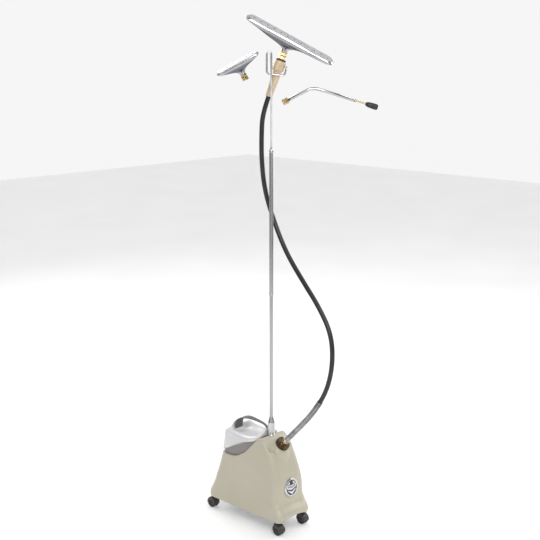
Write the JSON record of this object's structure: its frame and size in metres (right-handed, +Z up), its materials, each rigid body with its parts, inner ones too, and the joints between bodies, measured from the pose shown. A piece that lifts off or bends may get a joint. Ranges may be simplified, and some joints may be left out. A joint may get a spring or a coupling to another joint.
{
  "type": "garment steamer",
  "caption": "Upright garment steamer on casters: water bottle on a sloping boiler casing, pole with hanger hook, steam hose to a wooden handle with a fan-shaped head, and spare attachments.",
  "frame": {"origin": "on the floor under the middle of the casing, midway between the left and right casters", "axes": "+Z up the pole; -Y towards the front face with the badge and the hose outlet; +X to the right of someone facing along +Y"},
  "size_m": [0.3854, 0.5355, 1.7624],
  "materials": {
    "casing_plastic": "smooth satin beige moulding",
    "steel": "brushed",
    "seal_rubber": "matt black",
    "element_steel": "heat darkened",
    "brass": "bright turned brass",
    "dark_collar": "dark bronze, ribbed",
    "hose_rubber": "black, slightly glossy",
    "chrome": "bright chrome plate",
    "pole_tube": "polished tube",
    "cast_head": "polished and plated casting",
    "face_plate": "satin plate",
    "well_plastic": "white moulding",
    "bottle_plastic": "milky translucent",
    "grip_plastic": "dark grey, fine grained",
    "wood": "pale turned hardwood, lacquered",
    "black_plastic": "black moulding",
    "gland_plastic": "cream moulding",
    "badge_plate": "black and silver plate",
    "wheel_rubber": "black tread"
  },
  "bodies": {
    "root": {"casing": "casing_plastic", "base_plate": "steel", "base_plate_screws": "steel", "boiler_tank": "steel", "boiler_gasket": "seal_rubber", "boiler_lid": "steel", "boiler_bolts": "steel", "heating_element": "element_steel", "steam_elbow": "steel", "hose_fitting": "brass", "fitting_collar": "dark_collar", "hose_nut": "brass", "steam_hose": "hose_rubber", "hose_spring": "chrome", "pole_socket": "chrome", "lower_pole": "pole_tube", "upper_pole": "pole_tube", "hook_collar": "chrome", "hanger_hook": "chrome", "reservoir_well": "well_plastic", "feed_tube": "brass", "power_inlet_gland": "gland_plastic", "switch_bezel": "black_plastic", "badge": "badge_plate", "thermostat": "well_plastic", "terminal_block": "well_plastic"},
    "bottle": {"water_bottle": "bottle_plastic", "bottle_handle": "grip_plastic", "bottle_cap": "well_plastic", "cap_gasket": "seal_rubber", "valve_spring": "steel"},
    "valve": {"valve_plunger": "well_plastic"},
    "switch": {"switch_rocker": "black_plastic"},
    "handle": {"handle_grip": "wood", "handle_ring": "brass", "handle_tube": "brass"},
    "large_nut": {"head_nut": "brass"},
    "large_head": {"head_body": "cast_head", "head_face": "face_plate"},
    "small_head": {"small_head_body": "cast_head", "small_head_face": "face_plate"},
    "small_nut": {"small_head_nut": "brass"},
    "pipe": {"pipe_tube": "chrome", "pipe_stud": "chrome"},
    "pipe_nut_body": {"pipe_nut": "brass"},
    "knob": {"pipe_knob": "black_plastic"},
    "caster_front_left": {"caster_hood_front_left": "black_plastic", "caster_stem_front_left": "steel"},
    "wheels_front_left": {"caster_wheels_front_left": "wheel_rubber"},
    "caster_front_right": {"caster_hood_front_right": "black_plastic", "caster_stem_front_right": "steel"},
    "wheels_front_right": {"caster_wheels_front_right": "wheel_rubber"},
    "caster_rear_left": {"caster_hood_rear_left": "black_plastic", "caster_stem_rear_left": "steel"},
    "wheels_rear_left": {"caster_wheels_rear_left": "wheel_rubber"},
    "caster_rear_right": {"caster_hood_rear_right": "black_plastic", "caster_stem_rear_right": "steel"},
    "wheels_rear_right": {"caster_wheels_rear_right": "wheel_rubber"}
  },
  "joints": [
    {"name": "bottle_lift", "type": "slide", "parent": "root", "child": "bottle", "axis": [0, 0, 1], "range_m": [0, 0.12]},
    {"name": "valve_press", "type": "slide", "parent": "bottle", "child": "valve", "axis": [0, 0, 1], "range_m": [0, 0.004], "stiffness_N_per_m": 300, "deforming": ["valve_spring"]},
    {"name": "switch_rock", "type": "hinge", "parent": "root", "child": "switch", "pos_m": [0.034, 0.1568, 0.11767], "axis": [-1, 0, 0], "range_deg": [0, 12]},
    {"name": "handle_lift", "type": "slide", "parent": "root", "child": "handle", "axis": [0, 0, 1], "range_m": [0, 0.03]},
    {"name": "large_nut_spin", "type": "hinge", "parent": "handle", "child": "large_nut", "pos_m": [0.04004, -0.07525, 1.61944], "axis": [0.2268, -0.2382, 0.9444], "continuous": true},
    {"name": "head_turn", "type": "hinge", "parent": "handle", "child": "large_head", "pos_m": [0.04594, -0.08144, 1.64399], "axis": [0.2268, -0.2382, 0.9444], "continuous": true},
    {"name": "small_head_lift", "type": "slide", "parent": "root", "child": "small_head", "axis": [0, 0, 1], "range_m": [0, 0.03]},
    {"name": "small_nut_spin", "type": "hinge", "parent": "small_head", "child": "small_nut", "pos_m": [-0.07424, -0.01904, 1.56332], "axis": [-0.3238, 0.34, 0.8829], "continuous": true},
    {"name": "pipe_lift", "type": "slide", "parent": "root", "child": "pipe", "axis": [0, 0, 1], "range_m": [0, 0.03]},
    {"name": "pipe_nut_spin", "type": "hinge", "parent": "pipe", "child": "pipe_nut_body", "pos_m": [0.03207, -0.10167, 1.4845], "axis": [0.6145, -0.6452, 0.454], "continuous": true},
    {"name": "knob_turn", "type": "hinge", "parent": "pipe", "child": "knob", "pos_m": [0.21618, -0.29501, 1.47552], "axis": [0.6595, -0.6925, -0.2924], "continuous": true},
    {"name": "swivel_front_left", "type": "hinge", "parent": "root", "child": "caster_front_left", "pos_m": [-0.062, -0.15, 0.043], "axis": [0, 0, 1], "continuous": true},
    {"name": "roll_front_left", "type": "hinge", "parent": "caster_front_left", "child": "wheels_front_left", "pos_m": [-0.062, -0.163, 0.018], "axis": [1, 0, 0], "continuous": true},
    {"name": "swivel_front_right", "type": "hinge", "parent": "root", "child": "caster_front_right", "pos_m": [0.062, -0.15, 0.043], "axis": [0, 0, 1], "continuous": true},
    {"name": "roll_front_right", "type": "hinge", "parent": "caster_front_right", "child": "wheels_front_right", "pos_m": [0.062, -0.163, 0.018], "axis": [1, 0, 0], "continuous": true},
    {"name": "swivel_rear_left", "type": "hinge", "parent": "root", "child": "caster_rear_left", "pos_m": [-0.062, 0.155, 0.043], "axis": [0, 0, 1], "continuous": true},
    {"name": "roll_rear_left", "type": "hinge", "parent": "caster_rear_left", "child": "wheels_rear_left", "pos_m": [-0.062, 0.168, 0.018], "axis": [1, 0, 0], "continuous": true},
    {"name": "swivel_rear_right", "type": "hinge", "parent": "root", "child": "caster_rear_right", "pos_m": [0.062, 0.155, 0.043], "axis": [0, 0, 1], "continuous": true},
    {"name": "roll_rear_right", "type": "hinge", "parent": "caster_rear_right", "child": "wheels_rear_right", "pos_m": [0.062, 0.168, 0.018], "axis": [1, 0, 0], "continuous": true}
  ]
}
